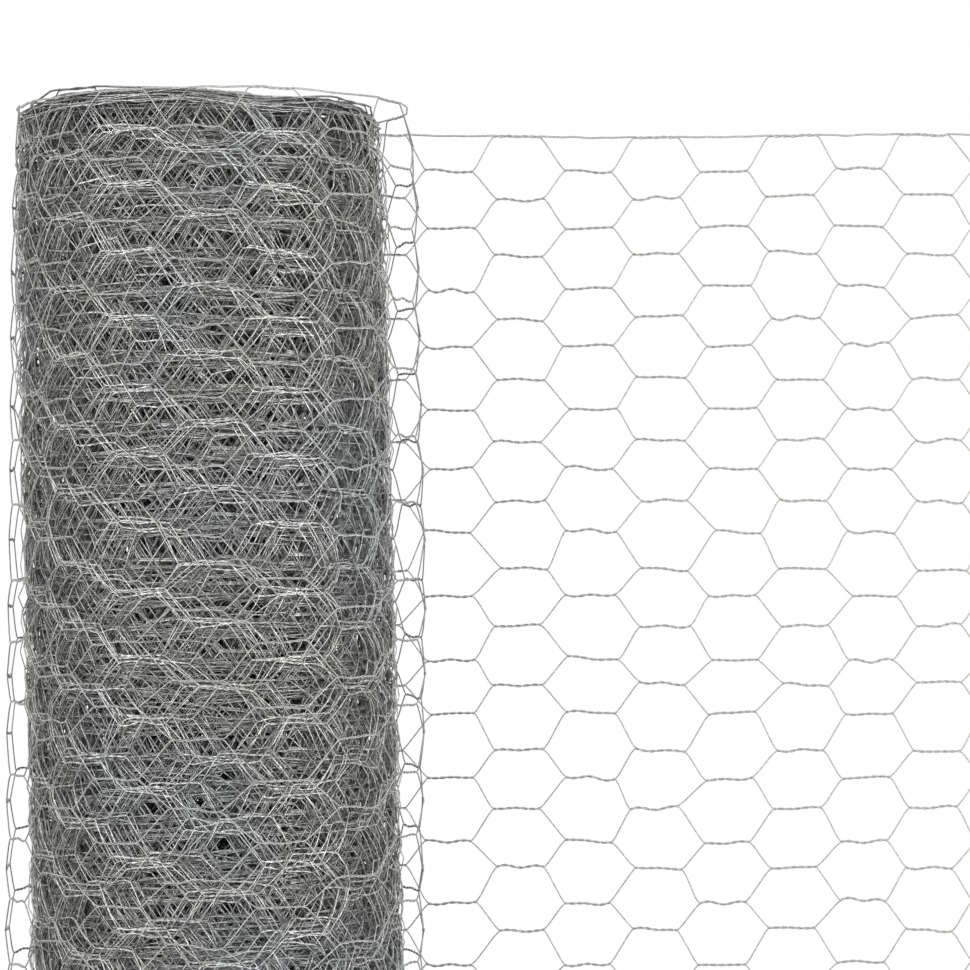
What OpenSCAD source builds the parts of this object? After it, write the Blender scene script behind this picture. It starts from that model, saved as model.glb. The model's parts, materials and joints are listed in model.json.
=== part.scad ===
// Roll of hexagonal wire netting standing on its end, with its outer turn
// sprung loose and the free end drawn out flat beside it.
// Millimetres. +Z runs up the open core, and the netting leaves towards +X.

/* [Netting] */
// Width of the netting over its selvages, which is the height of the standing roll
netting_w = 914.4; // [300:0.1:1850]
// Mesh size, from one twisted joint to the next across the netting
mesh_size = 50.8; // [25:0.1:80]
// Length of one twisted joint along the netting
joint_l = 38.4; // [25:0.1:60]
// Run along the netting of the slanting wire between two joints
slant_run = 18; // [8:0.1:40]
// Diameter of the wire
wire_d = 1.2; // [0.5:0.05:2]

/* [Wound roll] */
// Outside diameter of the tight turns
roll_d = 284; // [200:1:400]
// Diameter of the open core
bore_d = 60; // [30:1:120]
// Radial width of one ring of turns on the ends
ring_pitch = 4; // [2:0.1:8]
// Width of the groove between two rings
ring_groove_w = 1.6; // [0.4:0.1:1.9]
// Depth of the groove between two rings
ring_groove_depth = 3; // [1:0.1:10]

/* [Opened length] */
// Columns of joints from the roll to the cut end of the tail
net_columns = 29; // [26:1:60]
// Gap between the tight turns and the loose turn on the left
left_gap = 8.5; // [4:0.5:30]
// Gap between the tight turns and the loose turn on the right
right_gap = 28; // [20:0.5:60]
// Clearance where the loose turn runs onto the tight turns
seat_gap = 0.2; // [0.1:0.05:0.5]

/* [Hidden] */
$fn = 128;

// Wire sections, as half sizes. A joint is two wires side by side.
wire_half = wire_d / 2;
joint_half = wire_d;
// Half the thickness of the netting, between one wire and a twisted pair
net_half_share = 0.75;
net_half = wire_d * net_half_share;

// Netting
// Whole meshes fill the width between the selvages.
selvage_z = joint_half;
selvage_span = netting_w - 2 * selvage_z;
mesh_rows = round(selvage_span / mesh_size);
row_pitch = selvage_span / mesh_rows;
column_pitch = joint_l + slant_run;
slant_angle = atan2(row_pitch / 2, slant_run);

// Wound roll
roll_r = roll_d / 2;
bore_r = bore_d / 2;
ring_count = floor((roll_r - bore_r) / ring_pitch);

// Plan of the loose turn: two half circles that share the line x = turn_x.
// The right one runs onto the back of the roll, and the left one runs into the tail.
seat_r = roll_r + net_half + seat_gap;
reach = roll_r + 2 * right_gap - left_gap;
turn_x = (3 * reach - sqrt(10 * seat_r ^ 2 - reach ^ 2)) / 10;
seat_y = sqrt(seat_r ^ 2 - turn_x ^ 2);
right_r = roll_r + right_gap - turn_x;
left_r = roll_r + left_gap + turn_x;
right_arc = PI * right_r;
left_arc = PI * left_r;

// Columns of joints at which the netting is parted into nodes
right_mid = round(right_arc / 2 / column_pitch);
right_end = round(right_arc / column_pitch);
left_mid = round((right_arc + left_arc / 2) / column_pitch);
left_end = round((right_arc + left_arc) / column_pitch);
tail_mid = round((left_end + net_columns) / 2);

// Place of a point of the netting: s along it, z up it, n out of its surface
function degrees_of(arc, r) = arc / r * 180 / PI;
function place(s, z, n) =
    let (
        on_right = s < right_arc,
        on_left = min(s - right_arc, left_arc),
        angle = on_right ? 90 - degrees_of(s, right_r) : -90 - degrees_of(on_left, left_r),
        r = (on_right ? right_r : left_r) + n,
        drawn_out = max(0, s - right_arc - left_arc),
        middle_y = on_right ? seat_y - right_r : 0
    )
    [turn_x + drawn_out + r * cos(angle), middle_y + r * sin(angle), z];

// Directions in which a bar leaves a joint's end: its angle, the way back along it and its half width
directions = [
    ["ahead", 0, "back", joint_half],
    ["up_ahead", slant_angle, "down_back", wire_half],
    ["up_back", 180 - slant_angle, "down_ahead", wire_half],
    ["back", 180, "ahead", joint_half],
    ["down_back", 180 + slant_angle, "up_ahead", wire_half],
    ["down_ahead", 360 - slant_angle, "up_back", wire_half]
];
function row_of(direction) = [for (row = directions) if (row[0] == direction) row][0];
function angle_of(direction) = row_of(direction)[1];
function opposite(direction) = row_of(direction)[2];
function half_of(direction) = row_of(direction)[3];

// Even columns have a joint on each selvage. Odd columns lie half a mesh between them,
// and the selvage passes them as a plain bar.
function is_odd(column) = column % 2 == 1;
function last_row(column) = is_odd(column) ? mesh_rows + 1 : mesh_rows;
function row_z(column, row) =
    selvage_z + row_pitch * (
        !is_odd(column) ? row :
        row == 0 ? 0 :
        row > mesh_rows ? mesh_rows : row - 1 / 2
    );

// Bars that meet at the left (0) or right (1) end of a joint of the columns first to last,
// counter-clockwise
function bars_at(column, row, side, first, last) =
    let (
        bottom = row == 0,
        top = row == last_row(column),
        edge = bottom || top
    )
    column == first && side == 0 ? ["ahead"] :
    column == last && side == 1 ? ["back"] :
    is_odd(column) && edge ? ["ahead", "back"] :
    side == 0 ? (
        bottom ? ["ahead", "up_back", "back"] :
        top ? ["ahead", "back", "down_back"] : ["ahead", "up_back", "down_back"]
    ) : (
        bottom ? ["ahead", "up_ahead", "back"] :
        top ? ["ahead", "back", "down_ahead"] : ["up_ahead", "back", "down_ahead"]
    );

// Corner between two neighbouring bars, from the middle of the joint's end
function corner(direction, next) =
    let (
        a = angle_of(direction),
        turn = (angle_of(next) - a + 360) % 360,
        h = half_of(direction),
        straight = next == opposite(direction) || next == direction,
        x = straight ? 0 : (half_of(next) + h * cos(turn)) / sin(turn)
    )
    [x * cos(a) - h * sin(a), x * sin(a) + h * cos(a)];
function corners_at(bars) =
    len(bars) == 1
    ? [corner(bars[0], bars[0]), -corner(bars[0], bars[0])]
    : [for (i = [0 : len(bars) - 1]) corner(bars[i], bars[(i + 1) % len(bars)])];

// Points of one joint's end: front, back, then its corners counter-clockwise
corner_count = 3;
function end_points(s, z, bars) =
    let (corners = corners_at(bars))
    [
        place(s, z, net_half),
        place(s, z, -net_half),
        for (i = [0 : corner_count - 1])
            let (c = corners[min(i, len(corners) - 1)])
            place(s + c[0], z + c[1], 0)
    ];

// Netting from the middle of one column of joints to the middle of another,
// as one closed solid of four-sided bars that are fused at the joints' ends
module netting(first, last) {
    function end_s(column, side) =
        column * column_pitch
        + (column == first && side == 0 || column == last && side == 1
            ? 0 : (side - 1 / 2) * joint_l);
    rows_before = [
        for (c = first, n = 0; c <= last + 1; n = n + last_row(c) + 1, c = c + 1) n
    ];
    function id(column, row, side) = 2 * (rows_before[column - first] + row) + side;
    function bars(column, row, side) = bars_at(column, row, side, first, last);

    function point(id, which) = id * (2 + corner_count) + which;
    function corner_id(end, direction, step) =
        let (
            these = bars(end[0], end[1], end[2]),
            count = max(2, len(these)),
            at = [for (i = [0 : len(these) - 1]) if (these[i] == direction) i][0]
        )
        point(id(end[0], end[1], end[2]), 2 + (at + step + count) % count);

    // A bar from one joint's end to another, as eight triangles
    function bar(from, direction, to) =
        let (
            a = id(from[0], from[1], from[2]),
            b = id(to[0], to[1], to[2]),
            there = opposite(direction),
            a_left = corner_id(from, direction, 0),
            a_right = corner_id(from, direction, -1),
            b_left = corner_id(to, there, -1),
            b_right = corner_id(to, there, 0)
        )
        [
            [point(a, 0), a_left, b_left], [point(a, 0), b_left, point(b, 0)],
            [point(a, 0), point(b, 0), b_right], [point(a, 0), b_right, a_right],
            [point(a, 1), point(b, 1), b_left], [point(a, 1), b_left, a_left],
            [point(a, 1), a_right, b_right], [point(a, 1), b_right, point(b, 1)]
        ];
    function cap(id) = [
        [point(id, 0), point(id, 3), point(id, 1)],
        [point(id, 0), point(id, 1), point(id, 2)]
    ];

    // Bars that run ahead from the right end of a joint to the next column
    function links(column, row) =
        let (
            these = bars(column, row, 1),
            rise = is_odd(column) ? 0 : 1,
            next_edge = row == 0 ? 0 : last_row(column + 1)
        )
        [
            for (d = these)
                if (d != "back")
                    [[column, row, 1], d, [
                        column + 1,
                        d == "ahead" ? next_edge : d == "up_ahead" ? row + rise : row + rise - 1,
                        0
                    ]]
        ];

    points = [
        for (column = [first : last], row = [0 : last_row(column)], side = [0, 1])
            each end_points(
                end_s(column, side), row_z(column, row), bars(column, row, side)
            )
    ];
    faces = [
        for (column = [first : last], row = [0 : last_row(column)])
            each bar([column, row, 0], "ahead", [column, row, 1]),
        for (column = [first : last - 1], row = [0 : last_row(column)])
            for (link = links(column, row)) each bar(link[0], link[1], link[2]),
        for (row = [0 : last_row(first)]) each cap(id(first, row, 0)),
        for (row = [0 : last_row(last)]) each cap(id(last, row, 1))
    ];
    color("silver") polyhedron(points, faces);
}

// Half section of the wound turns: the rings of turns show on both ends
function end_profile(level, inward) = [
    for (i = [ring_count - 1 : -1 : 1])
        let (r = roll_r - i * ring_pitch)
        each [
            [r - ring_groove_w / 2, level],
            [r, level + inward * ring_groove_depth],
            [r + ring_groove_w / 2, level]
        ]
];
function reversed(list) = [for (i = [len(list) - 1 : -1 : 0]) list[i]];

module roll() {
    color("darkgray")
        rotate_extrude()
            polygon([
                [bore_r, 0],
                each end_profile(0, 1),
                [roll_r, 0],
                [roll_r, netting_w],
                each reversed(end_profile(netting_w, -1)),
                [bore_r, netting_w]
            ]);
}

module loose_turn_right_back() { netting(0, right_mid); }
module loose_turn_right_front() { netting(right_mid, right_end); }
module loose_turn_left_front() { netting(right_end, left_mid); }
module loose_turn_left_back() { netting(left_mid, left_end); }
module tail_near() { netting(left_end, tail_mid); }
module tail_far() { netting(tail_mid, net_columns); }

roll();
loose_turn_right_back();
loose_turn_right_front();
loose_turn_left_front();
loose_turn_left_back();
tail_near();
tail_far();
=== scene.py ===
import json
import math

import bpy
import numpy as np
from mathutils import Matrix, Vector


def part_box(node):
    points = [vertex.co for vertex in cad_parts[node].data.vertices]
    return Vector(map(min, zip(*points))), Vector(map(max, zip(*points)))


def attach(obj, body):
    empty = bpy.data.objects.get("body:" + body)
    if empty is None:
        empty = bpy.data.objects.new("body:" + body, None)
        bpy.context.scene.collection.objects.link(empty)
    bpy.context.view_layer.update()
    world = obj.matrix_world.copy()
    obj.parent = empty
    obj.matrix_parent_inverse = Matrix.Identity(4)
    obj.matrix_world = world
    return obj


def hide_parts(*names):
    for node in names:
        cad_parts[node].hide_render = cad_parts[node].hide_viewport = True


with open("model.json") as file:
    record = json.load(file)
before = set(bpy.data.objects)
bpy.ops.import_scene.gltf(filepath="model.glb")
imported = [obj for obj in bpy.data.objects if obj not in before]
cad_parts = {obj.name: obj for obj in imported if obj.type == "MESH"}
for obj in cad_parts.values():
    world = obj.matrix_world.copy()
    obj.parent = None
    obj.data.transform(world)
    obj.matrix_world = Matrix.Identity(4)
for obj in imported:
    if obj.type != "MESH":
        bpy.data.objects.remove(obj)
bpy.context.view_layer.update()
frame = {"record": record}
print("frame loaded")

# the netting, in metres, as the part has it
netting = {
    "meshRows": 18,
    "columnsOut": 29,      # columns of joints from the tight turns to the cut end
    "jointLength": 0.0384,
    "slantRun": 0.018,
    "wire": 0.0012,
    "selvageWire": 0.0016,
    "leftGap": 0.0085,     # tight turns to loose turn, on the left
    "rightGap": 0.028,     # and on the right
    "seatGap": 0.00095,    # tight turns to the middle of the wires that leave them
    "rollLength": 45.72,   # the whole strip
    "coreSpare": 2,        # columns by which it stops short of the core
    "seed": 7,
}

# how far the real netting strays from the drawn one, in metres
stray = {
    "row": 0.00182,        # a row of joints, all along the strip
    "jointAlong": 0.0012,
    "jointUp": 0.0006,
    "jointTilt": 0.0007,
    "jointLength": 0.0012,
    "kink": 0.0005,        # a joint's own waves
    "kinkWaves": 3,
    "topKinkShare": 0.5,   # the upper selvage has weaker ones
    "crumple": 1.7,        # joints of the tight turns stray this much more
    "bow": 0.0034,         # the slanting wires of the tight turns bow outwards
    "turnOut": 0.0019,     # waves in and out of the tight turns
    "turnUp": 0.0070,      # a turn that has slipped up or down
    "slipSkew": 2.5,       # the slip varies faster up a turn than along it
    "slipBlend": 0.25,     # length over which the slip grows, in from the seat
    "floorBlend": 0.20,    # height over which the slip fades to the floor
    "sheet": 0.0025,       # waves across the loose netting
    "sheetUp": 0.0012,
    "seatBlend": 0.1,      # length over which the waves fade to the seat
}

# the tops of the tight turns, in metres
tops = {
    "wave": 0.0050,        # waves of the upper selvage
    "lift": 1.1,           # how many such waves the highest tops stand over the middle ones
    "blend": 0.06,         # height over which the tops part from the turns below
    "level": 0.85,         # share of a turn's slip that its top doesn't follow
    # how far they have sunk, at places across the roll
    "at": (-0.142, -0.110, -0.080, -0.030, 0.0, 0.024, 0.055, 0.095, 0.125, 0.142),
    "down": (0.0030, 0.0006, 0.0, 0.0, 0.0010, 0.0035, 0.0070, 0.0023, 0.0015, 0.0050),
}

# how the turns slump: shares of their size and a lean, per metre below the pivot
slump = {
    "pivot": 0.76,
    "tightSwell": 0.0195,  # all the tight turns below the crown
    "tightSpread": 0.008,
    "tightLean": 0.0230,
    "crown": 0.031,        # the tight turns draw in at the top
    "crownFrom": 0.82,
    "freedBy": 0.25,       # length over which the loose turn leaves the tight ones' shape
    "pushBy": 0.05,        # and over which it comes to lie on them where it would cut in
    "loosePivot": 0.60,
    "looseSpread": 0.090,
    "looseMiddle": 0.0098,
    "leftBelly": 0.0026,   # the loose turn stands out on the left, less so at the floor
    "footDraw": 1.6,
    "footFrom": 0.55,
    "footFull": 0.30,
    "rightBelly": 0.0065,  # and on the right, about half way up
    "rightMiddle": 0.54,
    "rightHeight": 0.50,
    "looseCrown": 0.0065,  # and draws in at the top on the right
    "looseCrownFrom": 0.86,
    "frontHug": 0.12,      # it lies closer in front
    "looseSag": 0.012,     # its rows hang lower between top and floor
    "sagMiddle": 0.42,
    "sagHeight": 1.0,
    "tailPull": 0.0120,    # the tail's columns bow along it
    "pullMiddle": 0.56,
    "pullHeight": 0.75,
    "pullFrom": 0.18,
    "pullFull": 0.48,
}

# the outer tight turns lie close and nest into each other, so their joints nearly line up
nest = {
    "perTurn": 16,          # columns of joints
    "depth": 0.0055,        # of the turns that nest
    "eased": 1.0355,        # columns stand this much wider where the turns nest into the loose one
    "easedBack": 0.465,
    "drift": 0.015,         # how far the joints of one turn stray from those of the next
    "driftFrom": 0.2,
    "driftFull": 0.6,
    "closePitch": 0.00052,  # one turn to the next, in the close outer turns
    "closeLength": 25.4,
    # columns slide along the loose turn, so that two of them stand end-on at its outline
    "slideFrom": -0.20,
    "rightColumn": 5,
    "rightAngle": math.radians(88.4),
    "leftColumn": 13,
    "leftAngle": math.radians(90.0),
}

# smooth random fields, each a sum of waves over one or two lengths, in metres
fields = {
    "slip": {"count": 14, "shortest": 0.8, "longest": 4.0, "dims": 2},
    "row": {"count": 5, "shortest": 0.12, "longest": 0.6, "dims": 1},
    "layer": {"count": 14, "shortest": 0.06, "longest": 0.5, "dims": 2},
    "sheet": {"count": 8, "shortest": 0.25, "longest": 0.9, "dims": 2},
    "sheetUp": {"count": 8, "shortest": 0.2, "longest": 0.8, "dims": 2},
    "top": {"count": 10, "shortest": 0.25, "longest": 0.7, "dims": 2},
    "drift": {"count": 9, "shortest": 1.6, "longest": 5.0, "dims": 1},
}

wireRadius = netting["wire"] / 2
columnPitch = netting["jointLength"] + netting["slantRun"]
rollLow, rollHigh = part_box("roll")
rollRadius = (rollHigh[0] - rollLow[0]) / 2
nettingHeight = rollHigh[2] - rollLow[2]
selvageZ = netting["wire"]
levelCount = 2 * netting["meshRows"] + 1
levelPitch = (nettingHeight - 2 * selvageZ) / (levelCount - 1)
mounts = {mount["name"]: mount for mount in frame["record"]["mounts"]}
coreRadius = mounts["core_bore"]["dims"]["r_mm"] / 1000

# plan of the loose turn: a half circle on the right and one on the left, then the straight tail
seatRadius = rollRadius + netting["seatGap"]
reach = rollRadius + 2 * netting["rightGap"] - netting["leftGap"]
turnX = (3 * reach - math.sqrt(10 * seatRadius ** 2 - reach ** 2)) / 10
seatY = math.sqrt(seatRadius ** 2 - turnX ** 2)
rightRadius = rollRadius + netting["rightGap"] - turnX
leftRadius = rollRadius + netting["leftGap"] + turnX
rightArc = math.pi * rightRadius
leftArc = math.pi * leftRadius

# the tight turns: a close spiral in from the seat, then a wider one to the core
woundLength = netting["rollLength"] - netting["columnsOut"] * columnPitch
closeRadius = math.sqrt(seatRadius ** 2 - nest["closePitch"] * nest["closeLength"] / math.pi)
widePitch = math.pi * (closeRadius ** 2 - coreRadius ** 2) / (woundLength - nest["closeLength"])
seatAngle = math.atan2(seatY, turnX)
columnsIn = int(woundLength / columnPitch) - netting["coreSpare"]

rng = np.random.default_rng(netting["seed"])


def waves(count, shortest, longest, dims):
    # directions and phases of the waves that ripple() sums
    lengths = shortest * (longest / shortest) ** rng.random(count)
    ways = rng.normal(size=(count, dims))
    ways /= np.linalg.norm(ways, axis=1)[:, None]
    return ways * (2 * math.pi / lengths)[:, None], rng.random(count) * 2 * math.pi


waveSets = {name: waves(**field) for name, field in fields.items()}


def ripple(name, *coords):
    # value of a random field, near -1 to 1
    ways, phases = waveSets[name]
    total = 0
    for way, phase in zip(ways, phases):
        total = total + np.sin(sum(w * c for w, c in zip(way, coords)) + phase)
    return total / math.sqrt(len(phases))


def between(value, low, high):
    # a smooth step from 0 at low to 1 at high
    share = np.clip((value - low) / (high - low), 0, 1)
    return share * share * (3 - 2 * share)


def hump(value, middle, width):
    # a smooth bump, 1 at the middle and 0 half a width away
    return 0.5 + 0.5 * np.cos(2 * math.pi * np.clip((value - middle) / width, -0.5, 0.5))


def spiral(inward):
    # radius of the tight turns, and the angle turned, at a length in from the seat
    close = np.minimum(inward, nest["closeLength"])
    wide = inward - close
    outerRadius = np.sqrt(seatRadius ** 2 - nest["closePitch"] * close / math.pi)
    radius = np.sqrt(outerRadius ** 2 - widePitch * wide / math.pi)
    turned = (seatRadius - outerRadius) / nest["closePitch"] + (outerRadius - radius) / widePitch
    return radius, turned * 2 * math.pi


def planOf(s):
    # middle, angle and radius of the strip's plan, s counted out from the seat
    s = np.asarray(s, dtype=float)
    onRight = (s >= 0) & (s < rightArc)
    wound = s < 0
    along = np.clip(s - rightArc, 0, leftArc)
    angle = np.where(onRight, math.pi / 2 - s / rightRadius, -math.pi / 2 - along / leftRadius)
    radius = np.where(onRight, rightRadius, leftRadius)
    middleX = np.where(wound, 0.0, turnX)
    middleY = np.where(onRight, seatY - rightRadius, 0.0)
    drawnOut = np.maximum(0, s - rightArc - leftArc)
    woundRadius, turned = spiral(np.where(wound, -s, 0))
    radius = np.where(wound, woundRadius, radius)
    angle = np.where(wound, seatAngle + turned, angle)
    return middleX + drawnOut, middleY, angle, radius


def slumped(x, y, z, freed, onTail):
    # the plan as it swells, leans and draws in, with the radius and lean of the tight turns
    lean = slump["tightLean"] * (slump["pivot"] - z)
    crown = slump["crown"] * between(z, slump["crownFrom"], nettingHeight)
    tightShare = 1 + slump["tightSwell"] + slump["tightSpread"] * (slump["pivot"] - z) - crown
    looseShare = 1 + slump["looseSpread"] * (slump["loosePivot"] - z) * (1 - onTail)
    share = tightShare + (looseShare - tightShare) * freed
    about = slump["looseMiddle"] * freed
    x = about + (x - about) * share + lean * (1 - freed)
    belly = between(z, nettingHeight, slump["crownFrom"])
    belly = belly - slump["footDraw"] * between(z, slump["footFrom"], slump["footFull"])
    x = x - slump["leftBelly"] * belly * between(-x, 0, rollRadius) * freed
    drawnIn = slump["looseCrown"] * between(z, slump["looseCrownFrom"], nettingHeight)
    drawnIn = drawnIn - slump["rightBelly"] * hump(z, slump["rightMiddle"], slump["rightHeight"])
    x = x - drawnIn * between(x, 0, rollRadius) * freed * (1 - onTail)
    y = y * share * (1 - slump["frontHug"] * between(-y, 0, rollRadius) * freed)
    return x, y, seatRadius * tightShare, lean


def slipped(s, x, z):
    # how far a point has moved up: the tight turns by their slip and their tops, the rest in waves
    inRoll = between(-s, 0, stray["slipBlend"])
    slip = stray["turnUp"] * ripple("slip", s, stray["slipSkew"] * z) * inRoll
    nearTop = between(z, nettingHeight - tops["blend"], nettingHeight) * inRoll
    sunk = np.interp(x, tops["at"], tops["down"])
    sunk = sunk + tops["wave"] * (tops["lift"] - ripple("top", s, z))
    up = slip * (1 - tops["level"] * nearTop) - nearTop * sunk
    return up + np.where(s < 0, 0, stray["sheetUp"] * ripple("sheetUp", s, z))


def place(s, z):
    # point and outward normal of the netting at s along it and z up it
    drawn = s - rightArc - leftArc
    pull = hump(z, slump["pullMiddle"], slump["pullHeight"])
    s = s + slump["tailPull"] * pull * between(drawn, slump["pullFrom"], slump["pullFull"])
    middleX, middleY, angle, radius = planOf(s)
    x = middleX + radius * np.cos(angle)
    y = middleY + radius * np.sin(angle)
    freed = between(s, 0, slump["freedBy"])
    onTail = between(drawn, -leftArc / 2, 0)
    x, y, tightRadius, lean = slumped(x, y, z, freed, onTail)
    tightWave = stray["turnOut"] * ripple("layer", s, z)
    looseWave = stray["sheet"] * ripple("sheet", s, z)
    out = np.where(s < 0, tightWave, looseWave) * np.clip(np.abs(s) / stray["seatBlend"], 0, 1)
    x = x + out * np.cos(angle)
    y = y + out * np.sin(angle)
    # the loose turn lies on the tight ones where it would cut into them
    away = np.hypot(x - lean, y)
    cutIn = np.maximum(0, tightRadius + netting["wire"] - away)
    push = 1 + between(s, 0, slump["pushBy"]) * cutIn / away
    x = lean + (x - lean) * push
    y = y * push
    sag = slump["looseSag"] * hump(z, slump["sagMiddle"], slump["sagHeight"])
    up = slipped(s, x, z) - sag * freed * (1 - onTail)
    up = up * np.clip(z / stray["floorBlend"], 0, 1)
    normal = np.stack([np.cos(angle), np.sin(angle), np.zeros_like(x)], axis=-1)
    return np.stack([x, y, z + up], axis=-1), normal


def columnPlaces():
    # s of every column of joints, worked inwards from the cut end
    places = [netting["columnsOut"] * columnPitch]
    while len(places) < len(columns):
        s = places[-1]
        radius = spiral(max(-s, 0))[0]
        pitch = columnPitch
        if -nest["easedBack"] < s < rightArc:
            pitch = columnPitch * nest["eased"]
        elif s < 0 and radius > seatRadius - nest["depth"]:
            pitch = 2 * math.pi * radius / nest["perTurn"]
        places.append(s - pitch)
    places = np.array(places[::-1])
    edges = rightRadius * nest["rightAngle"], rightArc + leftRadius * nest["leftAngle"]
    endOn = places[columnsIn + nest["rightColumn"]], places[columnsIn + nest["leftColumn"]]
    slides = np.subtract(edges, endOn)
    print("columns slide at the outline:", np.round(slides, 4))
    slideAt = (nest["slideFrom"], *endOn, rightArc + leftArc)
    places = places + np.interp(places, slideAt, (0, *slides, 0))
    drift = nest["drift"] * ripple("drift", places)
    return places + drift * between(-places, nest["driftFrom"], nest["driftFull"])


# joint ends for every column and level of the strip; column 0 is at the seat
columns = np.arange(-columnsIn, netting["columnsOut"] + 1)
gridShape = (len(columns), levelCount)
levelZ = selvageZ + np.arange(levelCount) * levelPitch
rowStray = stray["row"] * (ripple("row", levelZ) + rng.normal(size=levelCount))
rowStray[[0, -1]] = netting["selvageWire"], 0      # the lower selvage stays clear of the floor
crumple = np.where(columns < 0, stray["crumple"], 1.0)[:, None]
middleS = columnPlaces()[:, None] + crumple * rng.normal(scale=stray["jointAlong"], size=gridShape)
middleZ = (levelZ + rowStray)[None, :]
jitterZ = crumple * rng.normal(scale=stray["jointUp"], size=gridShape)
tilt = crumple * rng.normal(scale=stray["jointTilt"], size=gridShape)
jitterZ[:, [0, -1]] = 0
tilt[:, [0, -1]] = 0
halfLength = (netting["jointLength"] + rng.normal(scale=stray["jointLength"], size=gridShape)) / 2
leftEnds, leftNormals = place(middleS - halfLength, middleZ + jitterZ - tilt)
rightEnds, rightNormals = place(middleS + halfLength, middleZ + jitterZ + tilt)
print("joints placed:", leftEnds.shape)


def wireRoutes():
    # level and side of each wire in each column, and whether it is twisted there:
    # zigzag wires between neighbouring levels, then both selvages
    odd = (columns % 2 == 1)
    levels, sides, twisted = [], [], []
    for wire in range(levelCount - 1):
        evenLevel = 2 * ((wire + 1) // 2)
        oddLevel = 2 * (wire // 2) + 1
        level = np.where(odd, oddLevel, evenLevel)
        levels.append(level)
        sides.append(np.where(level == wire, 1.0, -1.0))
        twisted.append(np.ones(len(columns)))
    for level, side in ((0, -1.0), (levelCount - 1, 1.0)):
        levels.append(np.full(len(columns), level))
        sides.append(np.full(len(columns), side))
        twisted.append(np.where(odd, 0.0, 1.0))
    return np.array(levels), np.array(sides), np.array(twisted)


# the twisted joints, and the slanting wires between them
twist = {
    "turns": 3.0,
    "bend": 0.008,         # length over which a wire bends out of a joint
    "bendLeast": 0.5,      # the least share of it
    "crowdEnds": 0.5,      # a slanting wire's points crowd towards its ends
}
wireLevels, wireSides, wireTwisted = wireRoutes()
wireRadii = np.full(len(wireLevels), wireRadius)
wireRadii[-2:] = netting["selvageWire"] / 2
kinks = rng.normal(scale=stray["kink"], size=(stray["kinkWaves"],) + gridShape)
kinks[:, :, -1] *= stray["topKinkShare"]
kinks[:, :, 0] = 0
bendShares = twist["bendLeast"] + rng.random(size=(len(wireLevels), len(columns)))
bendLengths = twist["bend"] * bendShares
bows = stray["bow"] * rng.random(size=(len(wireLevels), len(columns))) * (columns < 0)
print("wires routed:", len(wireLevels))


def slants(points, ahead, out, cols, steps):
    # the slanting wires, as smooth curves that leave and meet the joints along them
    u = (np.arange(steps) + 0.5)[None, None, :, None] / steps
    u = u + twist["crowdEnds"] * (u * u * (3 - 2 * u) - u)
    start, end = points[:, :-1, -1:], points[:, 1:, :1]
    bend = bendLengths[:, cols[:-1], None, None]
    leave, meet = ahead[:, :-1, None] * bend, ahead[:, 1:, None] * bend
    curves = (
        start * (2 * u ** 3 - 3 * u ** 2 + 1) + leave * (u ** 3 - 2 * u ** 2 + u)
        + end * (3 * u ** 2 - 2 * u ** 3) + meet * (u ** 3 - u ** 2)
    )
    curves = curves + bows[:, cols[:-1], None, None] * 4 * u * (1 - u) * out[:, :-1, None]
    # nothing leaves the last column, so its place is only filled
    return np.concatenate([curves, np.repeat(points[:, -1:, :1], steps, axis=2)], axis=1)


def wirePaths(first, last, jointSteps, slantSteps):
    # every wire's points from the joint of column first to the start of column last
    at = slice(first + columnsIn, last + columnsIn + 1)
    cols = np.arange(len(columns))[at]
    level = wireLevels[:, at]
    a = leftEnds[cols[None, :], level]
    b = rightEnds[cols[None, :], level]
    out = leftNormals[cols[None, :], level] + rightNormals[cols[None, :], level]
    ahead = b - a
    ahead /= np.linalg.norm(ahead, axis=-1, keepdims=True)
    out -= ahead * np.sum(out * ahead, axis=-1, keepdims=True)
    out /= np.linalg.norm(out, axis=-1, keepdims=True)
    up = np.cross(ahead, out)
    up *= np.sign(up[..., 2:3])
    hand = np.where(columns[at] % 2 == 1, 1.0, -1.0)[None, :, None]
    t = np.linspace(0, 1, jointSteps + 1)[None, None, :]
    turn = np.where(wireSides[:, at] > 0, 0, math.pi)[..., None]
    turn = turn + hand * t * 2 * math.pi * twist["turns"]
    reachOut = (wireTwisted[:, at] * wireRadius)[..., None, None]
    aside = np.cos(turn)[..., None] * up[:, :, None] + np.sin(turn)[..., None] * out[:, :, None]
    points = a[:, :, None] + (b - a)[:, :, None] * t[..., None] + reachOut * aside
    wave = sum(
        kink[cols[None, :], level][..., None] * np.sin((n + 1) * math.pi * t)
        for n, kink in enumerate(kinks)
    )
    points = points + wave[..., None] * up[:, :, None]
    if slantSteps:
        points = np.concatenate([points, slants(points, ahead, out, cols, slantSteps)], axis=2)
    perColumn = points.shape[2]
    normals = np.repeat(out[:, :, None], perColumn, axis=2)
    count = (len(cols) - 1) * perColumn + 1
    points = points.reshape(len(points), -1, 3)[:, :count]
    normals = normals.reshape(len(normals), -1, 3)[:, :count]
    return points, normals


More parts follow.
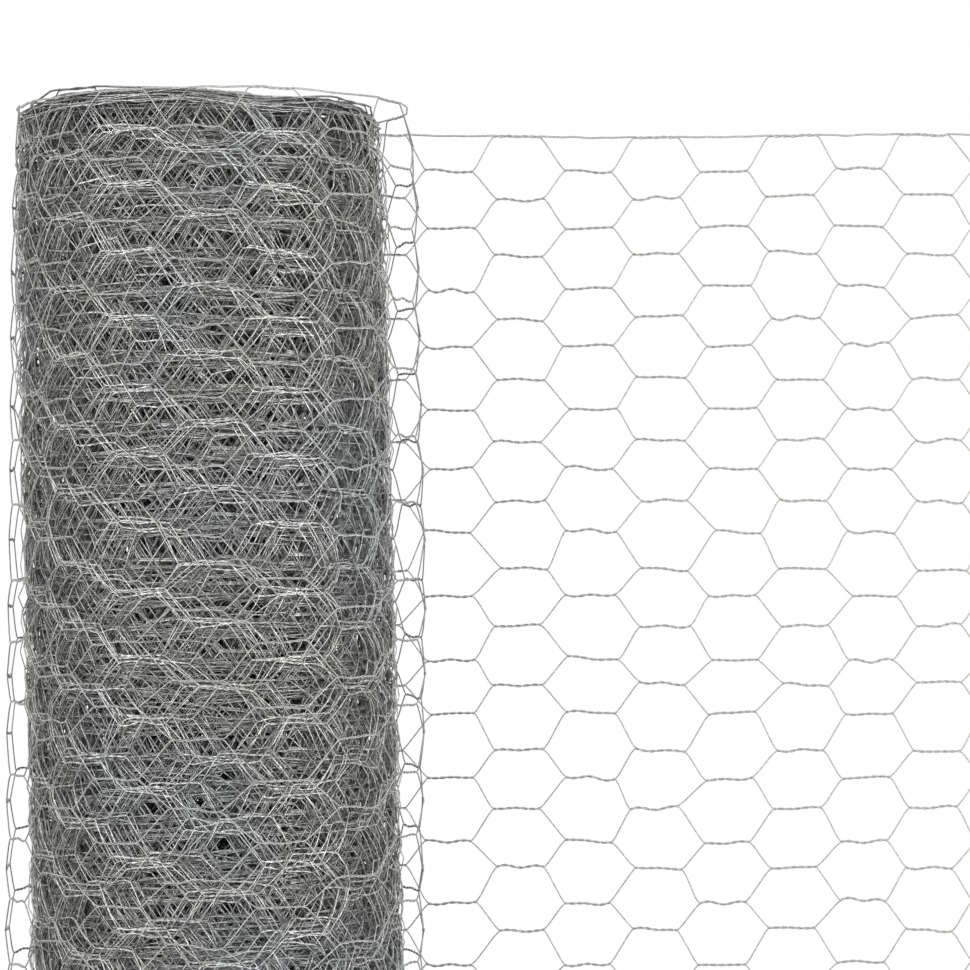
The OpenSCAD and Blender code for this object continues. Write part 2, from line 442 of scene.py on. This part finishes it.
def tubes(points, normals, sides, radius):
    # one closed tube along each row of points
    wires, count = points.shape[:2]
    ahead = np.empty_like(points)
    ahead[:, 1:-1] = points[:, 2:] - points[:, :-2]
    ahead[:, 0] = points[:, 1] - points[:, 0]
    ahead[:, -1] = points[:, -1] - points[:, -2]
    ahead /= np.linalg.norm(ahead, axis=-1, keepdims=True)
    across = np.cross(ahead, normals)
    across /= np.linalg.norm(across, axis=-1, keepdims=True)
    outward = np.cross(across, ahead)
    angles = (2 * math.pi * np.arange(sides) / sides)[:, None]
    ring = np.cos(angles) * outward[:, :, None] + np.sin(angles) * across[:, :, None]
    corners = (points[:, :, None] + radius[:, None, None, None] * ring).reshape(-1, 3)
    wireStart = np.arange(wires)[:, None] * count * sides
    start = wireStart[:, :, None] + np.arange(count - 1)[None, :, None] * sides
    k = np.arange(sides)[None, None, :]
    n = (k + 1) % sides
    quads = np.stack([start + k, start + n, start + sides + n, start + sides + k], axis=-1)
    firstRing = wireStart + np.arange(sides)[None, ::-1]
    lastRing = wireStart + (count - 1) * sides + np.arange(sides)[None, :]
    return corners, quads.reshape(-1, 4), np.concatenate([firstRing, lastRing])


# the strip in six pieces, from the cut end to the core: its columns of joints, how its wires
# are drawn, with fewer steps and sides the deeper they lie, and the part's nodes it stands for
# each piece takes its own lit or shaded copy of the zinc, with painted light or shade
tail = {
    "name": "tailNetting",
    "columns": (18, netting["columnsOut"]),
    "jointSteps": 24,
    "slantSteps": 5,
    "sides": 6,
    "swell": 1.0,
    "litOrShaded": "tailShadedZinc",
    "slot": "galvanised_wire",
    "nodes": ["tail_near", "tail_far"],
}
looseTurn = {
    "name": "looseTurnNetting",
    "columns": (0, tail["columns"][0]),
    "jointSteps": 15,
    "slantSteps": 4,
    "sides": 5,
    "swell": 0.88,
    "litOrShaded": "looseShadedZinc",
    "slot": "galvanised_wire",
    "nodes": [
        "loose_turn_right_back", "loose_turn_right_front",
        "loose_turn_left_front", "loose_turn_left_back",
    ],
}
outerTurns = {
    "name": "outerTurnsNetting",
    "columns": (-80, looseTurn["columns"][0]),
    "jointSteps": 8,
    "slantSteps": 1,
    "sides": 3,
    "swell": 0.74,
    "litOrShaded": "outerLitZinc",
    "slot": "wound_netting",
    "nodes": ["roll"],
}
underTurns = {
    "name": "underTurnsNetting",
    "columns": (-260, outerTurns["columns"][0]),
    "jointSteps": 2,
    "slantSteps": 1,
    "sides": 3,
    "swell": 0.92,
    "litOrShaded": "innerShadedZinc",
    "slot": "wound_netting",
    "nodes": ["roll"],
}
middleTurns = {
    "name": "middleTurnsNetting",
    "columns": (-450, underTurns["columns"][0]),
    "jointSteps": 2,
    "slantSteps": 1,
    "sides": 3,
    "swell": 0.92,
    "litOrShaded": "innerShadedZinc",
    "slot": "wound_netting",
    "nodes": ["roll"],
}
innerTurns = {
    "name": "innerTurnsNetting",
    "columns": (-columnsIn, middleTurns["columns"][0]),
    "jointSteps": 1,
    "slantSteps": 0,
    "sides": 3,
    "swell": 2.2,
    "litOrShaded": "deepLitZinc",
    "slot": "wound_netting",
    "nodes": ["roll"],
}


def makePiece(spec):
    points, normals = wirePaths(*spec["columns"], spec["jointSteps"], spec["slantSteps"])
    # a tube of few sides is drawn as wide as the round wire
    sides = spec["sides"]
    radius = wireRadii * spec["swell"] * math.pi / (sides * math.sin(math.pi / sides))
    corners, quads, caps = tubes(points, normals, sides, radius)
    mesh = bpy.data.meshes.new(spec["name"])
    mesh.from_pydata(corners.tolist(), [], quads.tolist() + caps.tolist())
    mesh.shade_smooth()
    piece = bpy.data.objects.new(spec["name"], mesh)
    bpy.context.scene.collection.objects.link(piece)
    mesh.calc_loop_triangles()
    print("made", spec["name"], "with", len(mesh.loop_triangles), "triangles")
    return piece


# galvanised wire: dull zinc grey, with paler and darker spangle, partly the zinc's own and partly
# painted glints, and a faint cool or olive cast
zinc = {
    "cool": (0.98, 1.00, 1.01, 1),
    "olive": (1.00, 1.00, 0.94, 1),
    "metallic": 0.7,
    "roughness": 0.42,
    "spangleAndGlintScale": 360.0,
    "spangleAndGlintDetail": 2,
    "castScale": 7.0,
    "castDetail": 1,
    "rampFrom": 0.35,
    "rampTo": 0.65,
    "rimFrom": 0.885,      # painted shade: the tops of the tight turns are drawn darker from this height, by a share set per shade
}
# lit and shaded copies of one zinc: the outer turns painted lighter, the under and middle turns
# painted darker as shade deep in the roll, the innermost turns painted lighter to lift the darkest
# gaps, the loose turn and tail painted darker as shade
shades = {
    "outerLitZinc": {"pale": 0.86, "dark": 0.41, "rimShade": 0.58},
    "innerShadedZinc": {"pale": 0.51, "dark": 0.23, "rimShade": 0.66},
    "deepLitZinc": {"pale": 0.76, "dark": 0.48, "rimShade": 0.36},
    "looseShadedZinc": {"pale": 0.50, "dark": 0.34},
    "tailShadedZinc": {"pale": 0.46, "dark": 0.36},
}


def grey(value):
    return (value, value, value, 1)


def zincMaterial(name, shade):
    material = bpy.data.materials.new(name)
    material.use_nodes = True
    nodes, links = material.node_tree.nodes, material.node_tree.links
    shader = nodes["Principled BSDF"]
    shader.inputs["Metallic"].default_value = zinc["metallic"]
    shader.inputs["Roughness"].default_value = zinc["roughness"]
    coords = nodes.new("ShaderNodeTexCoord")

    def mottle(scale, detail, low, high):
        noise = nodes.new("ShaderNodeTexNoise")
        noise.inputs["Scale"].default_value = scale
        noise.inputs["Detail"].default_value = detail
        ramp = nodes.new("ShaderNodeValToRGB")
        ramp.color_ramp.elements[0].position = zinc["rampFrom"]
        ramp.color_ramp.elements[0].color = low
        ramp.color_ramp.elements[1].position = zinc["rampTo"]
        ramp.color_ramp.elements[1].color = high
        links.new(coords.outputs["Object"], noise.inputs["Vector"])
        links.new(noise.outputs["Fac"], ramp.inputs["Fac"])
        return ramp.outputs["Color"]

    dark, pale = grey(shade["dark"]), grey(shade["pale"])
    # the zinc's spangle mixed with painted glints along the wires
    spangleAndGlints = mottle(zinc["spangleAndGlintScale"], zinc["spangleAndGlintDetail"], dark, pale)
    cast = mottle(zinc["castScale"], zinc["castDetail"], zinc["cool"], zinc["olive"])
    blend = nodes.new("ShaderNodeVectorMath")
    blend.operation = "MULTIPLY"
    links.new(spangleAndGlints, blend.inputs[0])
    links.new(cast, blend.inputs[1])
    # painted shade: darker towards the tops of the tight turns
    if "rimShade" in shade:
        parts = nodes.new("ShaderNodeSeparateXYZ")
        rim = nodes.new("ShaderNodeMapRange")
        rim.inputs["From Min"].default_value = zinc["rimFrom"]
        rim.inputs["From Max"].default_value = nettingHeight
        rim.inputs["To Min"].default_value = 1.0
        rim.inputs["To Max"].default_value = shade["rimShade"]
        topShade = nodes.new("ShaderNodeVectorMath")
        topShade.operation = "SCALE"
        links.new(coords.outputs["Object"], parts.inputs["Vector"])
        links.new(parts.outputs["Z"], rim.inputs["Value"])
        links.new(blend.outputs["Vector"], topShade.inputs[0])
        links.new(rim.outputs["Result"], topShade.inputs["Scale"])
        blend = topShade
    links.new(blend.outputs["Vector"], shader.inputs["Base Color"])
    return material


litOrShadedZincs = {name: zincMaterial(name, shade) for name, shade in shades.items()}
for spec in (tail, looseTurn, outerTurns, underTurns, middleTurns, innerTurns):
    piece = makePiece(spec)
    piece.data.materials.append(litOrShadedZincs[spec["litOrShaded"]])
    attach(piece, "root")
    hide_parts(*spec["nodes"])

# the stage: a pale floor that holds the roll's shadow and is white further off
stage = {"size": 40.0, "grey": 0.8, "roughness": 0.9, "shadowTo": 0.9, "whiteFrom": 2.2}
bpy.ops.object.select_all(action="DESELECT")
bpy.ops.mesh.primitive_plane_add(size=stage["size"], location=(0, 0, 0))
floor = bpy.context.object
floor.name = "studioFloor"


def seenRays(nodes, links):
    # 1 for the rays that show the background: to the camera, by a reflection or through a surface
    path = nodes.new("ShaderNodeLightPath")
    seen = path.outputs["Is Camera Ray"]
    for ray in ("Is Glossy Ray", "Is Transmission Ray"):
        either = nodes.new("ShaderNodeMath")
        either.operation = "MAXIMUM"
        links.new(seen, either.inputs[0])
        links.new(path.outputs[ray], either.inputs[1])
        seen = either.outputs[0]
    return seen


def stageMaterial():
    material = bpy.data.materials.new("studioWhite")
    material.use_nodes = True
    nodes, links = material.node_tree.nodes, material.node_tree.links
    shader = nodes["Principled BSDF"]
    shader.inputs["Base Color"].default_value = grey(stage["grey"])
    shader.inputs["Roughness"].default_value = stage["roughness"]
    coords = nodes.new("ShaderNodeTexCoord")
    away = nodes.new("ShaderNodeVectorMath")
    away.operation = "LENGTH"
    far = nodes.new("ShaderNodeMapRange")
    far.interpolation_type = "SMOOTHSTEP"
    far.inputs["From Min"].default_value = stage["shadowTo"]
    far.inputs["From Max"].default_value = stage["whiteFrom"]
    share = nodes.new("ShaderNodeMath")
    share.operation = "MULTIPLY"
    glow = nodes.new("ShaderNodeEmission")
    mix = nodes.new("ShaderNodeMixShader")
    links.new(coords.outputs["Object"], away.inputs[0])
    links.new(away.outputs["Value"], far.inputs["Value"])
    links.new(far.outputs["Result"], share.inputs[0])
    links.new(seenRays(nodes, links), share.inputs[1])
    links.new(share.outputs[0], mix.inputs["Fac"])
    links.new(shader.outputs[0], mix.inputs[1])
    links.new(glow.outputs[0], mix.inputs[2])
    links.new(mix.outputs[0], nodes["Material Output"].inputs["Surface"])
    return material


floor.data.materials.append(stageMaterial())
print("stage set")

# light: an even white room and three soft boxes
room = {"strength": 0.45, "seenStrength": 1.0}
world = bpy.data.worlds.new("studioRoom")
bpy.context.scene.world = world
world.use_nodes = True
nodes, links = world.node_tree.nodes, world.node_tree.links
nodes["Background"].inputs["Color"].default_value = grey(1)
strength = nodes.new("ShaderNodeMapRange")
strength.inputs["To Min"].default_value = room["strength"]
strength.inputs["To Max"].default_value = room["seenStrength"]
links.new(seenRays(nodes, links), strength.inputs["Value"])
links.new(strength.outputs["Result"], nodes["Background"].inputs["Strength"])

lamps = [
    {"name": "frontBox", "at": (-0.2, -3.6, 1.0), "wide": 1.0, "high": 0.8, "watts": 27},
    {"name": "leftBox", "at": (-2.3, -2.2, 1.0), "wide": 1.4, "high": 1.4, "watts": 37},
    {"name": "rightBox", "at": (1.6, -1.4, 0.9), "wide": 1.0, "high": 1.4, "watts": 20},
]
lampAimShare = 0.6         # of the roll's height
lampAim = np.array([0.0, 0.0, nettingHeight * lampAimShare])


def turnTo(thing, target):
    way = np.array(target) - np.array(thing.location)
    yaw = math.atan2(-way[0], way[1])
    pitch = math.atan2(way[2], math.hypot(way[0], way[1])) + math.pi / 2
    thing.rotation_euler = (pitch, 0, yaw)


for lamp in lamps:
    light = bpy.data.lights.new(lamp["name"], "AREA")
    light.shape = "RECTANGLE"
    light.size = lamp["wide"]
    light.size_y = lamp["high"]
    light.energy = lamp["watts"]
    box = bpy.data.objects.new(lamp["name"], light)
    box.location = lamp["at"]
    turnTo(box, lampAim)
    bpy.context.scene.collection.objects.link(box)
print("lamps placed:", len(lamps))

# camera: level, looking along +Y, its picture shifted up to the photo's frame
view = {
    "frame": 970,          # pixels a side
    "focalPixels": 4116,
    "rollAxisPixel": 203,
    "horizonPixel": 610,
    "distance": 3.242,
    "height": 0.520,
    "sensor": 36.0,
    "clipEnd": 50.0,
}
pixelSize = view["distance"] / view["focalPixels"]
lens = bpy.data.cameras.new("viewLens")
lens.sensor_width = view["sensor"]
lens.lens = view["sensor"] * view["focalPixels"] / view["frame"]
lens.shift_y = (view["horizonPixel"] - view["frame"] / 2) / view["frame"]
lens.clip_end = view["clipEnd"]
camera = bpy.data.objects.new("viewCamera", lens)
cameraX = (view["frame"] / 2 - view["rollAxisPixel"]) * pixelSize
camera.location = (cameraX, -view["distance"], view["height"])
camera.rotation_euler = (math.pi / 2, 0, 0)
bpy.context.scene.collection.objects.link(camera)
bpy.context.scene.camera = camera
bpy.context.scene.view_settings.view_transform = "Standard"
print("camera placed")

bpy.context.view_layer.update()
